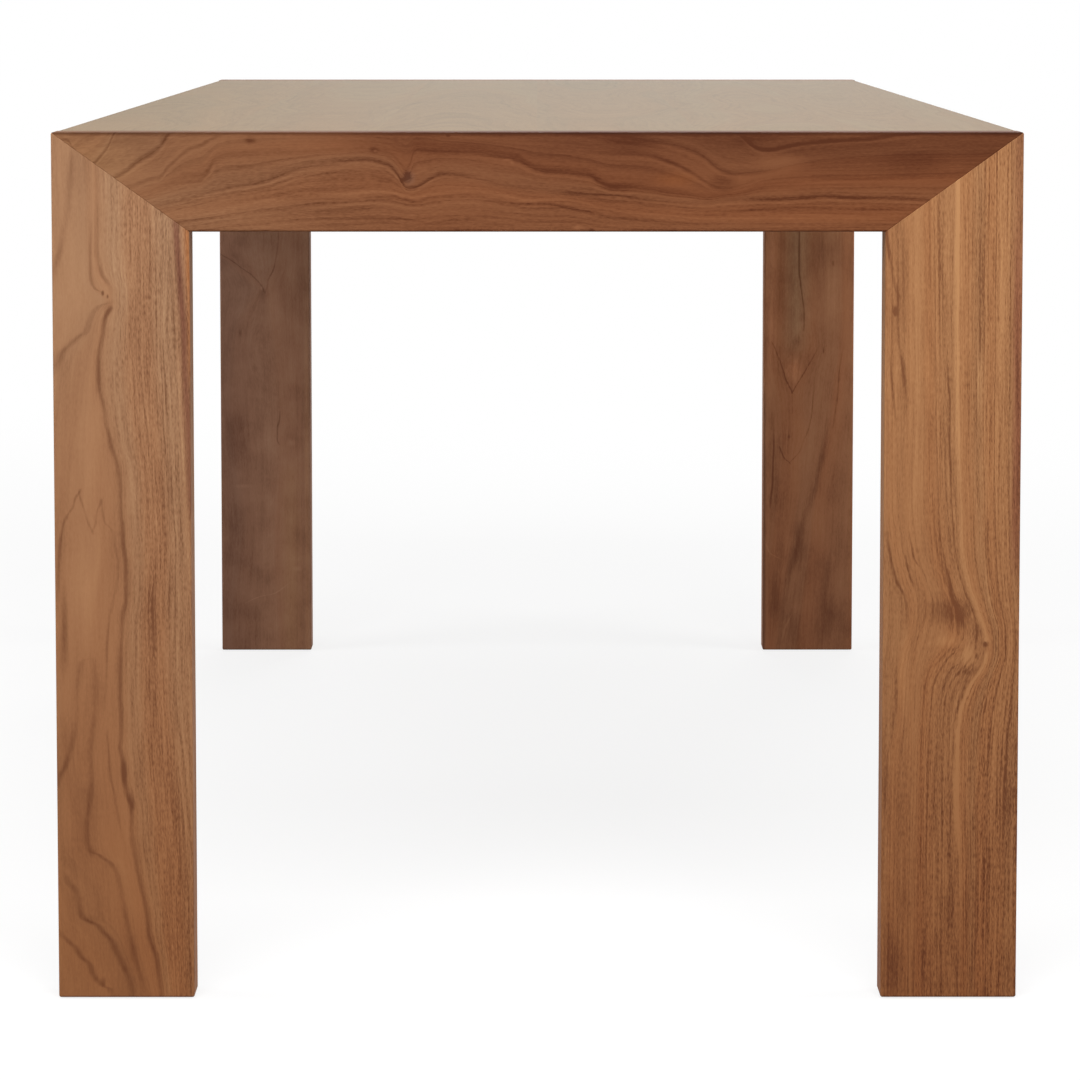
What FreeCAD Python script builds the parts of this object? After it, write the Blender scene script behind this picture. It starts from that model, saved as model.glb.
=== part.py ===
import FreeCAD, Part
import math
import os

# Parsons dining table in solid walnut, in millimetres.
#
# Two flat portal frames, each of two legs and a rail joined by mitres, stand at the ends.
# Between them runs the top, edge-glued from boards, with a side rail glued under each long
# edge. Steel angles bolt the side rails to the frames, so that the table comes apart.
#
# +X is across the table to the right, +Y along it to the rear end, +Z up.
# The origin is on the floor, under the middle of the top.

Vector = FreeCAD.Vector

# ---- Overall size ----
table_length = 2000.0            # over the outer faces of the two end frames
table_width = 840.0              # over the outer faces of the legs
table_height = 760.0             # floor to the top surface

# ---- End frames ----
frame_thickness = 38.0           # of the legs and end rails, along the table
leg_width = 119.0                # across the table
end_rail_height = 86.0           # of the end rails
arris_radius = 2.0               # easing of the legs' and rails' long corners
seam_groove_depth = 0.4          # fine V at the seams that are not sanded flush

# ---- Top ----
top_thickness = 25.0
top_board_count = 6
top_edge_radius = 4.0            # easing of the top's two long upper edges

# ---- Side rails, under the long edges of the top ----
side_rail_thickness = 22.0

# ---- Loose tenons in the mitres, two to a mitre ----
tenon_width = 36.0               # along the mitre
tenon_thickness = 10.0
tenon_depth = 22.0               # into each piece, square to the mitre
tenon_inner_margin = 14.0        # from the mitre's inner end to the first tenon
tenon_cover = 8.0                # wood left over the end of the second tenon
tenon_wall = 2.0                 # wood left between the tenons and what enters from the inner face
joint_clearance = 0.3            # at the rounded sides and ends of tenons, dowels and biscuits

# ---- Spline that keeps each end of the top level with its end rail ----
spline_thickness = 6.0
spline_depth = 12.0              # into the top and into the end rail
spline_inset = 30.0              # from the table's side to the spline's end

# ---- Biscuits between the side rails and the top ----
biscuit_length = 56.0
biscuit_width = 23.0
biscuit_thickness = 4.0
biscuits_per_rail = 7
biscuit_end_distance = 120.0     # from the rail's end to the first biscuit's middle

# ---- Dowels at the ends of the side rails ----
dowel_radius = 5.0
dowel_depth_in_rail = 20.0
dowel_depth_in_leg = 12.0
dowel_edge_distance = 16.0       # from the rail's lower and upper edges

# ---- Steel angles in the four corners ----
bracket_flange = 65.0
bracket_thickness = 5.0
bracket_root_radius = 6.0
bracket_toe_radius = 2.0
bracket_hole_radius = 3.3
bracket_near_hole = 28.0         # from the corner of the angle
bracket_far_hole = 52.0
bracket_low_hole = 14.0          # above the lower edge of the side rail
bracket_mitre_cover = 13.0       # from the upper hole's middle to the mitre, square to it
bracket_hole_edge = 10.0         # from a hole's middle to the angle's end

# ---- M6 bolts, washers and threaded inserts that hold the angles ----
bolt_radius = 3.0
bolt_length = 16.0               # under the head
bolt_head_radius = 5.2
bolt_head_height = 3.3
bolt_head_round = 2.0
bolt_socket_width = 4.0          # across the flats of the hexagon
bolt_socket_depth = 2.0
washer_radius = 6.2
washer_bore_radius = 3.2
washer_thickness = 1.6
insert_radius = 5.0
insert_length = 12.0
thread_clearance = 0.15          # between the plain surfaces that stand for two meshed threads

# ---- Battens across the underside of the top ----
batten_count = 3
batten_width = 60.0
batten_thickness = 22.0
batten_end_gap = 3.0             # to the side rail, so that the top can shrink
batten_end_chamfer = 8.0
batten_slot_length = 10.0        # lets each board move under its screw
batten_slot_width = 5.5
batten_screw_radius = 2.25
batten_screw_length = 35.0
batten_washer_radius = 6.0
batten_washer_thickness = 1.2

# ---- Steel clips that hold the top down to the end rails ----
clip_thickness = 1.5
clip_width = 20.0
clip_flange = 24.0               # under the top
clip_drop = 12.0                 # from the top's underside to the tab
clip_tab = 6.0                   # into the end rail's groove
clip_stand_off = 1.0             # between the clip and the end rail
clip_screw_distance = 14.0       # from the clip's riser to its screw
clip_groove_depth = 8.0
clip_groove_play = 1.5           # under the tab
clip_groove_inset = 15.0         # from the leg to the groove's end
clip_screw_radius = 2.0
clip_screw_length = 16.0

# ---- Pan heads of the wood screws ----
screw_head_height = 2.4
screw_head_ratio = 2.0           # head radius over thread radius
screw_tip_length = 4.0
screw_hole_clearance = 0.15

# ---- Nylon glides under the legs, two to a leg ----
glide_radius = 10.0
glide_thickness = 5.0
glide_stand_off = 1.0            # that the glide stands below the leg
glide_chamfer = 0.6
glide_edge_distance = 26.0       # from the leg's side to the glide's middle
glide_screw_radius = 1.6
glide_screw_length = 20.0
glide_screw_head_radius = 3.4
glide_screw_recess = 1.2         # from the glide's face to the screw's head
glide_pocket_clearance = 0.15

# ---- Levels and planes that several pieces share ----
half_width = table_width / 2
half_length = table_length / 2
inner_end = half_length - frame_thickness            # inner face of an end frame
opening_half_width = half_width - leg_width          # inner side of a leg
inner_side = half_width - side_rail_thickness        # inner face of a side rail
leg_bottom = glide_stand_off
rail_bottom = table_height - end_rail_height
top_underside = table_height - top_thickness
board_width = table_width / top_board_count
mitre_length = math.hypot(leg_width, end_rail_height)
mitre_slope = end_rail_height / leg_width
cutter_margin = 10.0                                 # that a cutter runs past what it cuts
same_size = 0.01                                     # two sizes nearer than this are one size

# The tenons lie outside all that enters the frame from its inner face.
tenon_centre_depth = max(insert_length, spline_depth) + tenon_wall + tenon_thickness / 2
tenon_middle = inner_end + tenon_centre_depth

SIDES = {"left": -1, "right": 1}
ENDS = {"front": -1, "rear": 1}
X_AXIS = Vector(1, 0, 0)
Y_AXIS = Vector(0, 1, 0)
Z_AXIS = Vector(0, 0, 1)


# ---- Shapes used by several pieces ----

def block(x_limits, y_limits, z_limits):
    """A box between two values on each axis, in either order."""
    (x0, x1), (y0, y1), (z0, z1) = sorted(x_limits), sorted(y_limits), sorted(z_limits)
    return Part.makeBox(x1 - x0, y1 - y0, z1 - z0, Vector(x0, y0, z0))


def prism(corners, sweep):
    """A closed flat outline swept along a straight line."""
    return Part.Face(Part.makePolygon(corners + corners[:1])).extrude(sweep)


def rounded_bar(centre, wide, thick, deep, width, thickness, depth):
    """A bar with two half-round sides, about its centre; wide, thick and deep are its axes."""
    half_flat = (width - thickness) / 2
    base = centre - deep * (depth / 2)
    right, left = base + wide * half_flat, base - wide * half_flat
    half = thick * (thickness / 2)
    round_out = wide * (thickness / 2)
    outline = Part.Wire([
        Part.makeLine(left - half, right - half),
        Part.Arc(right - half, right + round_out, right + half).toShape(),
        Part.makeLine(right + half, left + half),
        Part.Arc(left + half, left - round_out, left - half).toShape(),
    ])
    return Part.Face(outline).extrude(deep * depth)


def seam_groove(start, end, outward):
    """The cutter of a fine V along a seam, on the face whose normal is outward."""
    run = end - start
    across = outward.cross(run).normalize() * seam_groove_depth
    out = outward * seam_groove_depth
    return prism([start + out, start + across, start - out, start - across], run)


def placed(shape, point, direction):
    """A copy of a shape drawn along +Z, set at a point and turned to a direction."""
    copy = shape.copy()
    copy.Placement = FreeCAD.Placement(point, FreeCAD.Rotation(Z_AXIS, direction))
    return copy


def eased(shape, radius, wanted):
    """The shape with the edges that are wanted rounded."""
    return shape.makeFillet(radius, [edge for edge in shape.Edges if wanted(edge.BoundBox)])


def near(first, second):
    """Whether two sizes of the model are the same."""
    return math.isclose(first, second, abs_tol=same_size)


def save(name, pieces):
    """Write one node, whose pieces stay separate solids."""
    solids = [solid for piece in pieces for solid in piece.Solids]
    shape = solids[0] if len(solids) == 1 else Part.makeCompound(solids)
    shape.exportStep(os.path.join("parts", name + ".step"))


# ---- Fasteners, drawn along +Z with the underside of the head at zero ----

def bolt():
    """M6 button-head bolt with a hexagon socket."""
    head = Part.makeCylinder(bolt_head_radius, bolt_head_height, Vector(0, 0, -bolt_head_height))
    head = eased(head, bolt_head_round, lambda box: near(box.ZMax, -bolt_head_height))
    socket_radius = bolt_socket_width / math.sqrt(3)
    corners = [Vector(socket_radius * math.cos(math.radians(60 * turn)),
                      socket_radius * math.sin(math.radians(60 * turn)),
                      -bolt_head_height) for turn in range(6)]
    shank = Part.makeCylinder(bolt_radius, bolt_length)
    return head.fuse(shank).removeSplitter().cut(prism(corners, Z_AXIS * bolt_socket_depth))


def washer(radius, bore_radius, thickness):
    """A flat washer that lies on the zero plane."""
    return Part.makeCylinder(radius, thickness).cut(Part.makeCylinder(bore_radius, thickness))


def threaded_insert():
    """A brass insert with its mouth at zero."""
    return washer(insert_radius, bolt_radius + thread_clearance, insert_length)


def pan_screw(radius, length):
    """A pan-head wood screw."""
    head_radius = radius * screw_head_ratio
    head = Part.makeCylinder(head_radius, screw_head_height, Vector(0, 0, -screw_head_height))
    head = eased(head, screw_head_height / 2, lambda box: near(box.ZMax, -screw_head_height))
    shank = Part.makeCylinder(radius, length - screw_tip_length)
    tip = Part.makeCone(radius, 0, screw_tip_length, Vector(0, 0, length - screw_tip_length))
    return head.fuse([shank, tip]).removeSplitter()


def pan_screw_hole(radius, length):
    """The hole that a pan-head screw fills, closed past its tip."""
    return Part.makeCylinder(radius + screw_hole_clearance, length + screw_hole_clearance)


def glide_screw(clearance=0.0):
    """A countersunk screw with the face of its head at zero."""
    head_height = glide_screw_head_radius - glide_screw_radius       # of a 90 degree head
    shank_radius = glide_screw_radius + clearance
    head = Part.makeCone(glide_screw_head_radius + clearance, shank_radius, head_height)
    shank_length = glide_screw_length + clearance - head_height
    shank = Part.makeCylinder(shank_radius, shank_length, Vector(0, 0, head_height))
    return head.fuse(shank).removeSplitter()


# ---- Where the repeated pieces sit ----

def mitre_line(side, end_face):
    """The inner and outer ends of a mitre, on the plane y = end_face."""
    inner = Vector(side * opening_half_width, end_face, rail_bottom)
    outer = Vector(side * half_width, end_face, table_height)
    return inner, outer


def tenon_bars(side, end, clearance):
    """The two tenons of a mitre, or with a clearance the mortises for them."""
    inner, outer = mitre_line(side, end * tenon_middle)
    along = (outer - inner).normalize()
    square = along.cross(Y_AXIS)
    outer_margin = (tenon_depth + tenon_cover) / mitre_slope
    distances = (tenon_inner_margin + tenon_width / 2, mitre_length - outer_margin - tenon_width / 2)
    return [rounded_bar(inner + along * distance, along, Y_AXIS, square,
                        tenon_width + 2 * clearance, tenon_thickness, 2 * (tenon_depth + clearance))
            for distance in distances]


def board_middle(number):
    """The x of a top board's middle line, counted from the left."""
    return -half_width + board_width * (number + 0.5)


def biscuit_bars(side, clearance):
    """The biscuits of one side rail, or with a clearance the slots for them."""
    first = inner_end - biscuit_end_distance
    pitch = 2 * first / (biscuits_per_rail - 1)
    middle = (half_width + inner_side) / 2
    middles = [Vector(side * middle, first - pitch * number, top_underside)
               for number in range(biscuits_per_rail)]
    return [rounded_bar(point, Y_AXIS, Z_AXIS, X_AXIS,
                        biscuit_length + 2 * clearance, biscuit_width + 2 * clearance, biscuit_thickness)
            for point in middles]


def rail_dowels(side, end, clearance):
    """The two dowels of a side rail's end, or with a clearance the holes for them."""
    middle = (half_width + inner_side) / 2
    length = dowel_depth_in_rail + dowel_depth_in_leg + 2 * clearance
    start = end * (inner_end - dowel_depth_in_rail - clearance)
    levels = (rail_bottom + dowel_edge_distance, top_underside - dowel_edge_distance)
    return [Part.makeCylinder(dowel_radius + clearance, length, Vector(side * middle, start, level),
                              Y_AXIS * end) for level in levels]


def spline_block(end, clearance):
    """The spline at one end of the top, or with a clearance the groove for it."""
    half_span = half_width - spline_inset + clearance
    level = table_height - top_thickness / 2
    reach = spline_depth + clearance
    return block((-half_span, half_span), (end * (inner_end - reach), end * (inner_end + reach)),
                 (level - spline_thickness / 2, level + spline_thickness / 2))


def bracket_levels():
    """The heights of a steel angle's lower and upper holes."""
    mitre_at_hole = rail_bottom + (inner_side - bracket_near_hole - opening_half_width) * mitre_slope
    mitre_cosine = leg_width / mitre_length
    return rail_bottom + bracket_low_hole, mitre_at_hole - bracket_mitre_cover / mitre_cosine


def bracket_fixings(side, end):
    """Each bolt of a steel angle: a point on the wood's face and the way the bolt goes in."""
    low, high = bracket_levels()
    into_leg, into_rail = Vector(0, end, 0), Vector(side, 0, 0)
    fixings = []
    for distance, level in ((bracket_near_hole, high), (bracket_far_hole, low)):
        fixings.append((Vector(side * (inner_side - distance), end * inner_end, level), into_leg))
        fixings.append((Vector(side * inner_side, end * (inner_end - distance), level), into_rail))
    return fixings


def all_bracket_fixings():
    return [fixing for side in SIDES.values() for end in ENDS.values()
            for fixing in bracket_fixings(side, end)]


def insert_holes(fixings):
    """Holes in the wood for the threaded inserts, a little deeper than the bolts reach."""
    radius = insert_radius + thread_clearance
    return [Part.makeCylinder(radius, insert_length + thread_clearance, point, way) for point, way in fixings]


def batten_middle(number):
    """The y of a batten's middle line."""
    return -inner_end + 2 * inner_end * (number + 1) / (batten_count + 1)


def batten_screw_points():
    """Points on the undersides of the battens, one under each board."""
    return [Vector(board_middle(board), batten_middle(batten), top_underside - batten_thickness)
            for batten in range(batten_count) for board in range(top_board_count)]


def clip_boards():
    """The boards that a clip holds: all those that end between the legs."""
    limit = opening_half_width - clip_groove_inset - clip_width / 2
    return [board for board in range(top_board_count) if abs(board_middle(board)) < limit]


def clip_screw_points(end):
    """Points on the undersides of the clips' flanges."""
    distance = inner_end - clip_stand_off - clip_screw_distance
    return [Vector(board_middle(board), end * distance, top_underside - clip_thickness)
            for board in clip_boards()]


def glide_points():
    """The middles of the glides, on the floor."""
    middle = (half_length + inner_end) / 2
    return [Vector(side * distance, end * middle, 0)
            for side in SIDES.values() for end in ENDS.values()
            for distance in (opening_half_width + glide_edge_distance, half_width - glide_edge_distance)]


# ---- Wooden pieces ----

def end_frame(end):
    """The whole outline of one end frame, before it is divided at the mitres."""
    outer_face, inner_face = end * half_length, end * inner_end
    frame = block((-half_width, half_width), (outer_face, inner_face), (leg_bottom, table_height))
    frame = frame.cut(block((-opening_half_width, opening_half_width), (outer_face, inner_face),
                            (leg_bottom, rail_bottom)))

    def is_arris(box):
        in_opening_corner = near(box.XLength, 0) and near(box.ZLength, 0) and near(box.ZMin, rail_bottom)
        meets_top = near(box.YMin, inner_face) and near(box.YLength, 0) and near(box.ZMin, table_height)
        return not in_opening_corner and not meets_top

    frame = eased(frame, arris_radius, is_arris)
    seams = [seam_groove(*mitre_line(side, face), Y_AXIS)
             for side in SIDES.values() for face in (outer_face, inner_face)]
    seams.append(top_end_seam(end))
    holes = [bar for side in SIDES.values() for bar in tenon_bars(side, end, joint_clearance)]
    return frame.cut(seams + holes)


def top_end_seam(end):
    """The fine V between one end of the top and its end rail."""
    return seam_groove(Vector(-half_width, end * inner_end, table_height),
                       Vector(half_width, end * inner_end, table_height), Z_AXIS)


def top_side_seam(side):
    """The fine V between one long edge of the top and its side rail."""
    return seam_groove(Vector(side * half_width, -inner_end, top_underside),
                       Vector(side * half_width, inner_end, top_underside), X_AXIS)


def past_mitre(side, end_face):
    """The ends of a mitre, each moved outwards by the cutters' margin."""
    inner, outer = mitre_line(side, end_face)
    margin = (outer - inner).normalize() * cutter_margin
    return inner - margin, outer + margin


def leg(side, end):
    """One leg: its end of the frame, under the mitre."""
    outer_face = end * half_length
    inner, outer = past_mitre(side, outer_face)
    floor = leg_bottom - cutter_margin
    region = prism([inner, outer, Vector(outer.x, outer_face, floor), Vector(inner.x, outer_face, floor)],
                   Y_AXIS * (-end * frame_thickness))
    holes = insert_holes(bracket_fixings(side, end)) + rail_dowels(side, end, joint_clearance)
    for point in glide_points():
        holes.append(Part.makeCylinder(glide_radius + glide_pocket_clearance, glide_thickness, point))
        holes.append(placed(glide_screw(screw_hole_clearance), point + Z_AXIS * glide_screw_recess, Z_AXIS))
    return end_frame(end).common(region).cut(holes)


def end_rail(end):
    """One end rail, between its two mitres, with the groove for the clips."""
    outer_face = end * half_length
    left_inner, left_outer = past_mitre(SIDES["left"], outer_face)
    right_inner, right_outer = past_mitre(SIDES["right"], outer_face)
    above = Z_AXIS * cutter_margin
    corners = [left_inner, right_inner, right_outer, right_outer + above, left_outer + above, left_outer]
    region = prism(corners, Y_AXIS * (-end * frame_thickness))
    half_span = opening_half_width - clip_groove_inset
    tab_top = top_underside - clip_drop
    groove = block((-half_span, half_span), (end * inner_end, end * (inner_end + clip_groove_depth)),
                   (tab_top - clip_thickness - clip_groove_play, tab_top))
    return end_frame(end).common(region).cut([groove, spline_block(end, joint_clearance)])


def top_board(number):
    """One board of the top, counted from the left."""
    left = board_middle(number) - board_width / 2
    board = block((left, left + board_width), (-inner_end, inner_end), (top_underside, table_height))
    side = {0: SIDES["left"], top_board_count - 1: SIDES["right"]}.get(number)
    cutters = [spline_block(end, joint_clearance) for end in ENDS.values()]
    cutters += [top_end_seam(end) for end in ENDS.values()]
    if side:
        edge = side * half_width
        board = eased(board, top_edge_radius, lambda box: near(box.XMin, edge) and near(box.XMax, edge)
                      and near(box.ZMin, table_height) and near(box.ZMax, table_height))
        cutters += biscuit_bars(side, joint_clearance) + [top_side_seam(side)]
    hole = pan_screw_hole(batten_screw_radius, batten_screw_length)
    cutters += [placed(hole, point - Z_AXIS * batten_washer_thickness, Z_AXIS)
                for point in batten_screw_points()]
    hole = pan_screw_hole(clip_screw_radius, clip_screw_length)
    cutters += [placed(hole, point, Z_AXIS) for end in ENDS.values() for point in clip_screw_points(end)]
    return board.cut(cutters)


def side_rail(side):
    """One side rail, flush with the long edge of the top."""
    rail = block((side * inner_side, side * half_width), (-inner_end, inner_end),
                 (rail_bottom, top_underside))
    rail = eased(rail, arris_radius, lambda box: near(box.XLength, 0) and near(box.ZMax, rail_bottom))
    cutters = biscuit_bars(side, joint_clearance) + [top_side_seam(side)]
    for end in ENDS.values():
        cutters += rail_dowels(side, end, joint_clearance) + insert_holes(bracket_fixings(side, end))
    return rail.cut(cutters)


def batten(number):
    """One batten across the underside of the top, slotted under each board."""
    half_span = inner_side - batten_end_gap
    front = batten_middle(number) - batten_width / 2
    upper, lower = top_underside, top_underside - batten_thickness
    outline = [(-half_span, upper), (half_span, upper), (half_span, lower + batten_end_chamfer),
               (half_span - batten_end_chamfer, lower), (batten_end_chamfer - half_span, lower),
               (-half_span, lower + batten_end_chamfer)]
    bar = prism([Vector(x, front, z) for x, z in outline], Y_AXIS * batten_width)
    slots = [rounded_bar(Vector(point.x, point.y, (upper + lower) / 2), X_AXIS, Y_AXIS, Z_AXIS,
                         batten_slot_length, batten_slot_width, batten_thickness + cutter_margin)
             for point in batten_screw_points()]
    return bar.cut(slots)


# ---- Hardware ----

def corner_bracket(side, end):
    """A rolled steel angle in the corner between a leg and a side rail."""
    low, high = bracket_levels()
    corner_x, corner_y = side * inner_side, end * inner_end
    outline = [(0, 0), (bracket_flange, 0), (bracket_flange, bracket_thickness),
               (bracket_thickness, bracket_thickness), (bracket_thickness, bracket_flange),
               (0, bracket_flange)]
    base = low - bracket_hole_edge
    height = high + bracket_hole_edge - base
    corners = [Vector(corner_x - side * x, corner_y - end * y, base) for x, y in outline]
    angle = prism(corners, Z_AXIS * height)
    root_x, root_y = corner_x - side * bracket_thickness, corner_y - end * bracket_thickness
    far_x, far_y = corner_x - side * bracket_flange, corner_y - end * bracket_flange

    def upright_at(box, x, y):
        return near(box.ZLength, height) and near(box.Center.x, x) and near(box.Center.y, y)

    angle = eased(angle, bracket_root_radius, lambda box: upright_at(box, root_x, root_y))
    angle = eased(angle, bracket_toe_radius, lambda box: upright_at(box, root_x, far_y)
                  or upright_at(box, far_x, root_y))
    return angle.cut([Part.makeCylinder(bracket_hole_radius, bracket_thickness, point, way * -1)
                      for point, way in bracket_fixings(side, end)])


def tabletop_clip(end, board):
    """A pressed steel clip: a tab in the end rail's groove, a riser and a flange under the top."""
    riser = clip_stand_off + clip_thickness
    tab_top = -clip_drop
    profile = [(-clip_tab, tab_top - clip_thickness), (riser, tab_top - clip_thickness),
               (riser, -clip_thickness), (clip_stand_off + clip_flange, -clip_thickness),
               (clip_stand_off + clip_flange, 0), (clip_stand_off, 0), (clip_stand_off, tab_top),
               (-clip_tab, tab_top)]
    left = board_middle(board) - clip_width / 2
    corners = [Vector(left, end * (inner_end - reach), top_underside + level) for reach, level in profile]
    clip = prism(corners, X_AXIS * clip_width)
    hole = Part.makeCylinder(clip_screw_radius + screw_hole_clearance, clip_thickness)
    return clip.cut([placed(hole, point, Z_AXIS) for point in clip_screw_points(end)])


def glide():
    """A nylon disc with a countersunk hole, its face on the zero plane."""
    disc = Part.makeCylinder(glide_radius, glide_thickness)
    rim = [edge for edge in disc.Edges if near(edge.BoundBox.ZMax, 0)]
    disc = disc.makeChamfer(glide_chamfer, rim)
    mouth = Part.makeCylinder(glide_screw_head_radius + screw_hole_clearance, glide_screw_recess)
    return disc.cut([mouth, placed(glide_screw(screw_hole_clearance), Z_AXIS * glide_screw_recess, Z_AXIS)])


# ---- The whole table ----

def save_end_frames():
    for end_name, end in ENDS.items():
        save(end_name + "_end_rail", [end_rail(end)])
        save(end_name + "_end_spline", [spline_block(end, 0)])
        for side_name, side in SIDES.items():
            corner = end_name + "_" + side_name
            save(corner + "_leg", [leg(side, end)])
            save(corner + "_mitre_tenons", tenon_bars(side, end, 0))
            save(corner + "_bracket", [corner_bracket(side, end)])


def save_top_and_side_rails():
    for number in range(top_board_count):
        save("top_board_" + str(number + 1), [top_board(number)])
    for number in range(batten_count):
        save("batten_" + str(number + 1), [batten(number)])
    for side_name, side in SIDES.items():
        save(side_name + "_side_rail", [side_rail(side)])
        save(side_name + "_rail_biscuits", biscuit_bars(side, 0))
    save("rail_dowels", [dowel for side in SIDES.values() for end in ENDS.values()
                         for dowel in rail_dowels(side, end, 0)])


def save_bracket_fixings():
    fixings = all_bracket_fixings()
    disc = washer(washer_radius, washer_bore_radius, washer_thickness)
    under_head = bracket_thickness + washer_thickness
    save("bracket_bolts", [placed(bolt(), point - way * under_head, way) for point, way in fixings])
    save("bracket_washers", [placed(disc, point - way * under_head, way) for point, way in fixings])
    save("threaded_inserts", [placed(threaded_insert(), point, way) for point, way in fixings])


def save_top_fixings():
    screw = pan_screw(batten_screw_radius, batten_screw_length)
    disc = washer(batten_washer_radius, batten_screw_radius + screw_hole_clearance, batten_washer_thickness)
    under_heads = [point - Z_AXIS * batten_washer_thickness for point in batten_screw_points()]
    save("batten_screws", [placed(screw, point, Z_AXIS) for point in under_heads])
    save("batten_washers", [placed(disc, point, Z_AXIS) for point in under_heads])
    screw = pan_screw(clip_screw_radius, clip_screw_length)
    for end_name, end in ENDS.items():
        save(end_name + "_tabletop_clips", [tabletop_clip(end, board) for board in clip_boards()])
    save("clip_screws", [placed(screw, point, Z_AXIS) for end in ENDS.values()
                         for point in clip_screw_points(end)])


def save_glides():
    save("floor_glides", [placed(glide(), point, Z_AXIS) for point in glide_points()])
    save("glide_screws", [placed(glide_screw(), point + Z_AXIS * glide_screw_recess, Z_AXIS)
                          for point in glide_points()])


os.makedirs("parts", exist_ok=True)
save_end_frames()
save_top_and_side_rails()
save_bracket_fixings()
save_top_fixings()
save_glides()
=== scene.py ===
import math

import bmesh
import bpy
from mathutils import Euler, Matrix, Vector


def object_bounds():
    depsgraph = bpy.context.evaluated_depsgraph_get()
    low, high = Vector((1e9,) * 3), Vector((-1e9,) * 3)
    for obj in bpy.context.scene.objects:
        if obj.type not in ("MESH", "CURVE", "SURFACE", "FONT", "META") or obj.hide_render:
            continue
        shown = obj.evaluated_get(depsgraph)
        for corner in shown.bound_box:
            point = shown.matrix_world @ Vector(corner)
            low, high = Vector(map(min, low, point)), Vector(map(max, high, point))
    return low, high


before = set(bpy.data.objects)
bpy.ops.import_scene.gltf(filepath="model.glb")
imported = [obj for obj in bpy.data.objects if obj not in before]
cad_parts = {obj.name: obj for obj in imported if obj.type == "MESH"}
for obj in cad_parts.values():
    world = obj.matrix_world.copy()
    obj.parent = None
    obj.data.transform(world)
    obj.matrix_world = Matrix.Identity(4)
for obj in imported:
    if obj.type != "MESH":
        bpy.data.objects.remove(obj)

# Parsons dining table in oiled walnut, in metres. +X is to the table's right, +Y along it to
# the rear end and +Z up; the origin is on the floor, under the middle of the top.
# Every piece of the table is a node of the frame. This file gives the pieces their finishes,
# and sets up the floor, the light and the camera.

bounds_of_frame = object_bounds()
MM = 0.001
PERCENT = 0.01
white = (1.0, 1.0, 1.0, 1.0)

# ---- Camera ----
camera_place = (-0.0009, -4.6941, 0.8894)
camera_pitch_down = 5.004        # degrees
camera_yaw = -0.049              # degrees, to the left
camera_lens = 142.65             # millimetres, on a sensor of the default width
camera_shift_up = -0.17          # of the sensor's width

# ---- Studio ----
floor_size = 60.0
floor_colour = (0.36, 0.36, 0.36, 1.0)       # that lights the table from below
floor_glow = 0.78                # share of plain white that the camera sees in the floor by the table
floor_glow_reach = (1.6, 4.5)    # metres from the middle, over which the share grows to 1
ambient_strength = 0.18          # of the white surroundings, as light
lamps = {
    # name: (place, point it faces, width, height, power in watts)
    "key_lamp": ((-0.1, -3.0, 2.85), (0.0, -0.9, 0.5), 3.0, 1.2, 112.0),
    "front_fill": ((0.8, -5.2, 1.3), (0.0, -0.6, 0.4), 2.6, 1.6, 24.0),
    "left_fill": ((-3.8, -0.5, 1.7), (0.0, 0.2, 0.4), 2.2, 2.0, 72.0),
    "right_fill": ((3.8, -0.5, 1.7), (0.0, 0.2, 0.4), 2.2, 2.0, 76.0),
    "rear_fill": ((0.4, 4.8, 2.4), (0.0, 0.8, 0.4), 2.4, 2.0, 70.0),
    "top_fill": ((0.0, 0.8, 2.8), (0.0, 0.7, 0.7), 1.6, 1.6, 9.0),
}

# ---- Faces that the grain is drawn on ----
front_face = bounds_of_frame[0][1]                            # of the front frame
rear_frame_face = bounds_of_frame[1][1] - 38 * MM             # the rear frame's side that looks forward
top_level = bounds_of_frame[1][2]

# ---- Walnut ----
# The middle tone of each plank.
leg_tone = {
    "front_left": (0.341, 0.183, 0.0955),
    "front_right": (0.354, 0.163, 0.066),
    "rear_left": (0.310, 0.160, 0.098),
    "rear_right": (0.340, 0.142, 0.0646),
}
front_rail_tone = (0.252, 0.121, 0.0595)
rear_rail_tone = (0.235, 0.096, 0.044)
side_rail_tone = (0.262, 0.112, 0.052)
batten_tone = (0.320, 0.165, 0.092)
dark_ratio = (0.50, 0.40, 0.355)
light_ratio = (1.30, 1.42, 1.48)
flush_ratio = (1.02, 0.94, 0.88)             # where the wood runs redder
satin_level = 0.2

# ---- The top's boards, from left to right ----
top_boards = [
    # tone, where the board's heart lies across the table, how its arches open
    ((0.166, 0.090, 0.039), -0.39, 0.030),
    ((0.157, 0.084, 0.036), -0.20, -0.024),
    ((0.151, 0.080, 0.0335), -0.08, 0.034),
    ((0.147, 0.078, 0.033), 0.06, -0.028),
    ((0.150, 0.079, 0.033), 0.23, 0.022),
    ((0.150, 0.080, 0.034), 0.34, -0.032),
]
# The top is sanded finer than the frames, and its rubbed wax looks pale at a low angle.
top_finish = {
    "bands": 0.075, "stripes": 0.09, "lines": 0.11, "fibres": 0.075, "dashes": 0.085, "clouds": 0.04,
    "depth": 0.00001, "shine": 0.15,
    "Sheen_Weight": 0.12, "Sheen_Roughness": 0.3, "Sheen_Tint": (0.89, 0.92, 0.67, 1.0),
}

# ---- How fine the walnut's patterns are ----
fibre_scale = 700.0              # these four are repeats to the metre, across the grain
dash_scale = 1300.0
fuzz_scale = 330.0
cloud_scale = 24.0
stripe_scale = 1.6               # these four are repeats to the ring
line_scale = 0.43
band_scale = 0.19
flush_scale = 0.13
fibre_stretch = 0.03             # these three are repeats along the grain, as a share of those across it
fuzz_stretch = 0.045
dash_stretch = 0.16


# ==== Nodes ====

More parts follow.
